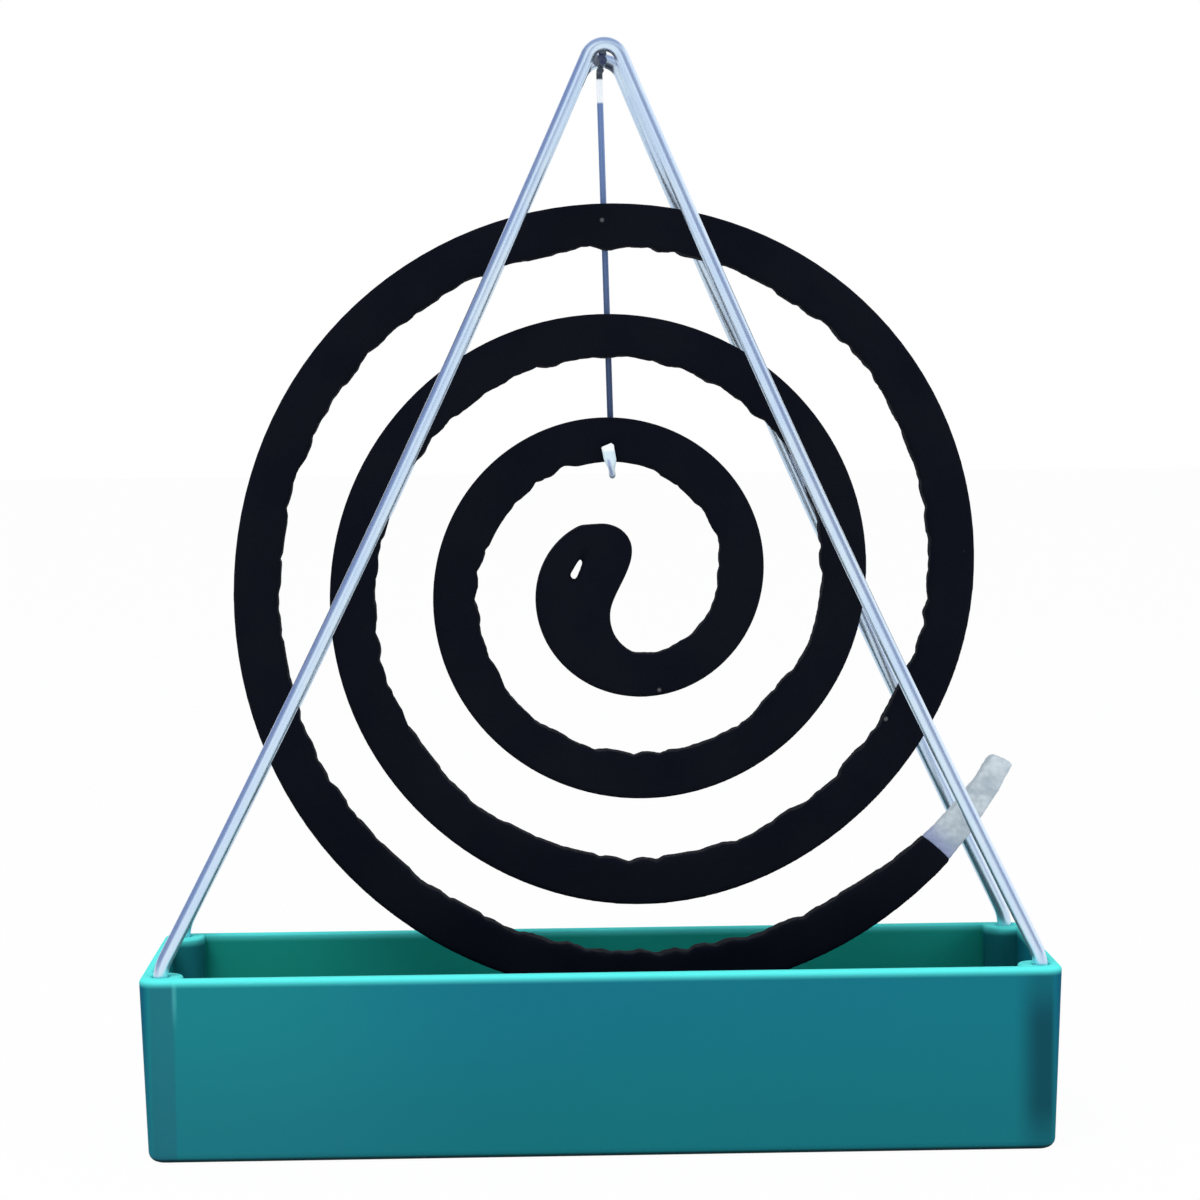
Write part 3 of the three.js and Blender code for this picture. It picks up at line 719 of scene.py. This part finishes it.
# Painted reflection: the slanting neck is painted white.
neck_reflection = z.between(172.7 * mm, 173.1 * mm)
tone = paint.mix(neck_reflection, tone, (0.98, 0.99, 1))
# Painted reflection on the pressed tip, and a painted highlight along its top.
pressed = 1 - y.between(-2.2 * mm, -1.2 * mm)
tone = paint.mix(pressed, tone, (0.70, 0.84, 0.90))
tone = paint.mix(pressed * z.between(114.5 * mm, 115.1 * mm), tone, (0.98, 1, 1))
# Painted shade: a faint groove's line under the tip's top.
from_groove = (x - 2.3 * mm - (z * -1 + 113.4 * mm) * 0.23).maths("ABSOLUTE")
groove_shade_line = (1 - from_groove.between(0.1 * mm, 0.4 * mm)) * (1 - z.between(113 * mm, 113.8 * mm))
tone = paint.mix(pressed * groove_shade_line * 0.8, tone, linear(140, 150, 196))
burn = z.between(176.6 * mm, 176.9 * mm)
tone = paint.mix(burn, tone, paint.mix(cloud, linear(30, 36, 60), linear(80, 90, 100)))
metal = 0.6 - 0.4 * neck_reflection + 0.1 * burn - 0.5 * pressed
sheen = 0.3 + 0.1 * lines + 0.3 * burn
paint.surface(paint.node("BsdfPrincipled", None, {
    "Base Color": tone, "Metallic": metal, "Roughness": sheen}))
hook.data.materials.append(thin_plating)
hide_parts("hanging_hook")
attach(hook, "stand")


# Coil. Charcoal and wood powder with a binder, pressed flat and stamped out as a spiral. Its outer
# edges are clean, and its inner edges crumbled where it was parted from its twin.

coil_thick, coil_width, coil_edge = 4.3 * mm, 7.45 * mm, 0.5 * mm
start_radius, pitch = 10.935 * mm, 17.3 * mm
wander = (0, 0.011, 0.041, 0, 0.051, 0.093, 0.063, 0.013, -0.071, -0.062, -0.055, -0.026, 0.01)
end_turn = 3.386


def drift(place):
    """The spiral's drift off its even growth, smooth between the values at each eighth of a turn."""
    place = min(max(place, 0), len(wander) - 1)
    first = min(int(place), len(wander) - 2)
    share = place - first
    a = wander[max(first - 1, 0)]
    b, c = wander[first], wander[first + 1]
    d = wander[min(first + 2, len(wander) - 1)]
    if first == 0:
        a = b
    if first == len(wander) - 2:
        d = c
    return 0.5 * (2 * b + (c - a) * share + (2 * a - 5 * b + 4 * c - d) * share ** 2
                  + (3 * b - a - 3 * c + d) * share ** 3)


def coil_radius(turns):
    """How far the spiral's middle line is from the coil's middle after so many turns."""
    return start_radius + pitch * (turns + drift((turns - 2) / 0.125))


def coil_spot(turns, beside=0):
    """A spot on the flat coil, on the spiral's middle line or beside it."""
    radius = coil_radius(turns) + beside
    angle = turns * 2 * math.pi
    return Vector((-radius * math.cos(angle), -radius * math.sin(angle)))


def coil_line(first, last, beside, burn):
    """One edge of the spiral. The fire has taken a little off it near the burnt end."""
    count = math.ceil(abs(last - first) * 120)
    spots = []
    for number in range(count + 1):
        turns = first + (last - first) * number / count
        burnt = max(0, 1 - (end_turn - turns) / 0.05)
        spots.append(coil_spot(turns, beside - math.copysign(burn * burnt, beside)))
    return spots


def bezier(a, b, c, d, count=10):
    """Spots along a curve with two handles, without its first one."""
    return [a * (1 - t) ** 3 + 3 * b * t * (1 - t) ** 2 + 3 * c * t * t * (1 - t) + d * t ** 3
            for t in (number / count for number in range(1, count + 1))]


outer_burn, inner_burn = 0.35 * mm, 0.9 * mm
end_width, end_lip, end_bulge = coil_width - outer_burn - inner_burn, 0.2 * mm, 0.8 * mm
small_turn = 1 / 1764
outline = coil_line(-0.15, end_turn, coil_width / 2, outer_burn)
end_way = (coil_spot(end_turn) - coil_spot(end_turn - small_turn)).normalized()
for share in (0.06, 0.2, 0.4, 0.6, 0.8, 0.94):
    beside = coil_width / 2 - outer_burn - end_width * share
    outline.append(coil_spot(end_turn, beside) + end_way * (end_lip + end_bulge * share * (1 - share)))
outline += coil_line(end_turn, 0.27, -coil_width / 2, inner_burn)

# The head's outline is three curves, given in parts of the pitch.
head = (((-0.04, -0.62), (-0.14, -0.5), (-0.14, -0.31)),
        ((-0.14, -0.13), (0.08, 0.1), (0.08, 0.315)),
        ((0.08, 0.49), (-0.08, 0.58), (-0.22, 0.575)))
for b, c, d in head:
    outline += bezier(outline[-1], *(Vector(spot) * pitch for spot in (b, c, d)))

slot_middle = Vector((-0.43, 0.19)) * pitch
slot_way, slot_reach = 0.355 * math.pi, 2.4 * mm
slot_half = Vector((math.cos(slot_way), math.sin(slot_way))) * slot_reach
narrow_end = (slot_middle + slot_half, 0.35 * mm, -0.5)
wide_end = (slot_middle - slot_half, 0.65 * mm, 0.5)
slot = []
for middle, radius, start in (narrow_end, wide_end):
    for number in range(13):
        angle = slot_way + math.pi * (start + number / 12)
        slot.append(middle + radius * Vector((math.cos(angle), math.sin(angle))))

seat, seat_drop = coil_spot(0.764, -coil_width / 2), 0.7 * mm
coil_middle = Vector((turn_middle.x - seat.x, 0, turn_middle.z - seat_drop - seat.y))


def flat_piece(name, outlines, thickness, edge, where):
    """A flat piece that stands upright and faces the front, with chamfered edges, as a mesh."""
    clear()
    bpy.ops.curve.primitive_bezier_curve_add()
    made = bpy.context.object
    made.name = name
    line = made.data
    line.splines.clear()
    line.dimensions = "2D"
    line.fill_mode = "BOTH"
    for spots in outlines:
        spline = line.splines.new("POLY")
        spline.points.add(len(spots) - 1)
        for point, spot in zip(spline.points, spots):
            point.co = (spot.x, spot.y, 0, 1)
        spline.use_cyclic_u = True
    line.extrude = thickness / 2 - edge
    line.bevel_depth = edge
    line.bevel_resolution = 1
    line.offset = -edge
    made.rotation_euler = (math.pi / 2, 0, 0)
    made.location = where
    bpy.ops.object.convert(target="MESH")
    bpy.ops.object.transform_apply(location=True, rotation=True, scale=True)
    shape("VERT")
    bpy.ops.mesh.select_all(action="SELECT")
    bpy.ops.mesh.remove_doubles(threshold=1e-6)
    bpy.ops.mesh.normals_make_consistent(inside=False)
    clear()
    bpy.context.view_layer.objects.active = made
    made.select_set(True)
    return made


def remesh(piece, size):
    """Even small faces all over, so that the surface can be worn."""
    modifier = piece.modifiers.new("even", "REMESH")
    modifier.mode = "VOXEL"
    modifier.voxel_size = size
    modifier.use_smooth_shade = True
    bpy.ops.object.modifier_apply(modifier=modifier.name)


coil = flat_piece("pressed_coil", [outline, slot], coil_thick, coil_edge, coil_middle)
remesh(coil, 0.5 * mm)

# The inner edge is worn in broad hollows, in lobes and in small crumbs, and less near the seat.
# The head isn't worn.
head_turns, strip_reach, seat_reach = 0.3, 5 * mm, 9 * mm
wear_from, wear_rise = 2.4 * mm, 1.2 * mm
least_wear, most_wear = -0.3, 0.75
for point in coil.data.vertices:
    flat = Vector((point.co.x - coil_middle.x, point.co.z - coil_middle.z))
    angle = (math.atan2(-flat.y, -flat.x) / (2 * math.pi)) % 1
    rounds = [number + angle for number in range(4)]
    turns = min(rounds, key=lambda turn: abs(coil_radius(turn) - flat.length))
    beside = flat.length - coil_radius(turns)
    inner = share_of((-beside - wear_from) / wear_rise)
    if turns < head_turns or abs(beside) > strip_reach or inner == 0:
        continue
    where = point.co / mm
    broad = noise.noise(Vector((where.x * 0.09, 4.2, where.z * 0.09)))
    lobe = abs(noise.noise(Vector((where.x * 0.2, where.y * 0.04, where.z * 0.2))))
    small = abs(noise.noise(Vector((where.x * 0.5, where.y * 0.1, where.z * 0.5 + 7))))
    amount = 0.7 * broad + 1.2 * (0.22 - lobe) + 0.3 * (0.2 - small) + 0.06 * noise.noise(where * 1.3)
    amount = min(max(amount, least_wear), most_wear) * inner * mm
    from_seat = share_of((point.co - turn_middle).length / seat_reach)
    outward = flat.normalized() * amount * from_seat
    point.co += Vector((outward.x, 0, outward.y))

charcoal = bpy.data.materials.new("pressed_charcoal")
paint = Paint(charcoal)
powder = paint.grain(1400, 4.0, roughness=0.7)
patches = paint.grain(60, 3.0)
tone = paint.mix(patches.between(0.35, 0.65), linear(7, 10, 20), linear(12, 14, 23))
specks = paint.node("TexVoronoi", {"feature": "F1"}, {"Vector": paint.spot(), "Scale": 90.0})
chip = 1 - specks.between(0.02, 0.045)
tone = paint.mix(chip * 0.5, tone, linear(120, 122, 126))
rough = 0.8 + 0.15 * powder
height = powder + 0.6 * paint.grain(350, 3.0)
fine = paint.node("Bump", None, {"Strength": 0.35, "Distance": 0.25 * mm, "Height": height})
paint.surface(paint.node("BsdfPrincipled", None, {
    "Base Color": tone, "Roughness": rough, "Normal": fine, "Specular IOR Level": 0.12}))
coil.data.materials.append(charcoal)
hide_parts("mosquito_coil")
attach(coil, "coil")


# Ash. The burnt end of the coil, which has shrunk and bent upwards but still holds together. It is
# pale and crumbly, and bluish where it meets the charcoal.

ash_root, ash_tip, ash_length, ash_rise = 5.75 / 2 * mm, 3.9 / 2 * mm, 19.2 * mm, 2.2 * mm
ash_thick, ash_edge, ash_gap, root_overlap = 3.6 * mm, 0.4 * mm, 0.3 * mm, 0.4 * mm
tip_slope, tip_round = 1.3 * mm, 0.9 * mm
ash_start = coil_spot(end_turn, (inner_burn - outer_burn) / 2)
ash_side = Vector((-end_way.y, end_way.x))


def ash_spot(along, beside):
    """A spot on the flat ash, so far from the coil's end and so far beside its middle line."""
    return ash_start + end_way * (ash_gap + along) + ash_side * beside


def quadratic(a, b, c, count=12):
    """Spots along a curve with one handle, without its first one."""
    return [a.lerp(b, t).lerp(b.lerp(c, t), t) for t in (number / count for number in range(1, count + 1))]


# The tip is cut off aslant, and its two corners are rounded.
low_side, high_side = ash_rise - ash_tip, ash_rise + ash_tip
low_length, high_length = ash_length, ash_length - tip_slope
low_corner = ash_spot(low_length, low_side)
high_corner = ash_spot(high_length, high_side)
rounding = tip_round / (high_corner - low_corner).length
ash_half = (ash_root + ash_tip) / 2
outline = [ash_spot(-root_overlap, -ash_root)]
low_handle, high_handle = ash_spot(ash_length / 2, -ash_half), ash_spot(ash_length / 2, ash_half)
outline += quadratic(outline[-1], low_handle, ash_spot(low_length - tip_round, low_side))
outline += quadratic(outline[-1], low_corner, low_corner.lerp(high_corner, rounding), 6)
outline.append(high_corner.lerp(low_corner, rounding))
outline += quadratic(outline[-1], high_corner, ash_spot(high_length - tip_round, high_side), 6)
outline += quadratic(outline[-1], high_handle, ash_spot(-root_overlap, ash_root))
ash = flat_piece("ash_crust", [outline], ash_thick, ash_edge, coil_middle)
remesh(ash, 0.25 * mm)
for point in ash.data.vertices:
    where = point.co / mm
    dent = 0.16 * noise.noise(where * 0.45) + 0.1 * noise.noise(where * 1.3) - 0.08
    point.co += point.normal * dent * mm

crust = bpy.data.materials.new("burnt_ash")
paint = Paint(crust)
root = coil_middle + Vector((ash_start.x, 0, ash_start.y))
x, y, z = paint.axes(paint.spot())
along = (x - root.x) * end_way.x + (z - root.z) * end_way.y
mottle = paint.grain(330, 4.0, roughness=0.6)
tone = paint.mix(mottle.between(0.35, 0.68), linear(176, 188, 196), linear(206, 214, 219))
tone = paint.mix(1 - along.between(0.5 * mm, 4.5 * mm), tone, linear(150, 160, 190))
fine = paint.node("Bump", None, {
    "Strength": 0.5, "Distance": 0.3 * mm, "Height": mottle + 0.5 * paint.grain(1500, 3.0)})
paint.surface(paint.node("BsdfPrincipled", None, {
    "Base Color": tone, "Roughness": 0.95, "Normal": fine, "Specular IOR Level": 0.1}))
ash.data.materials.append(crust)
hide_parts("ash_end")
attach(ash, "coil")
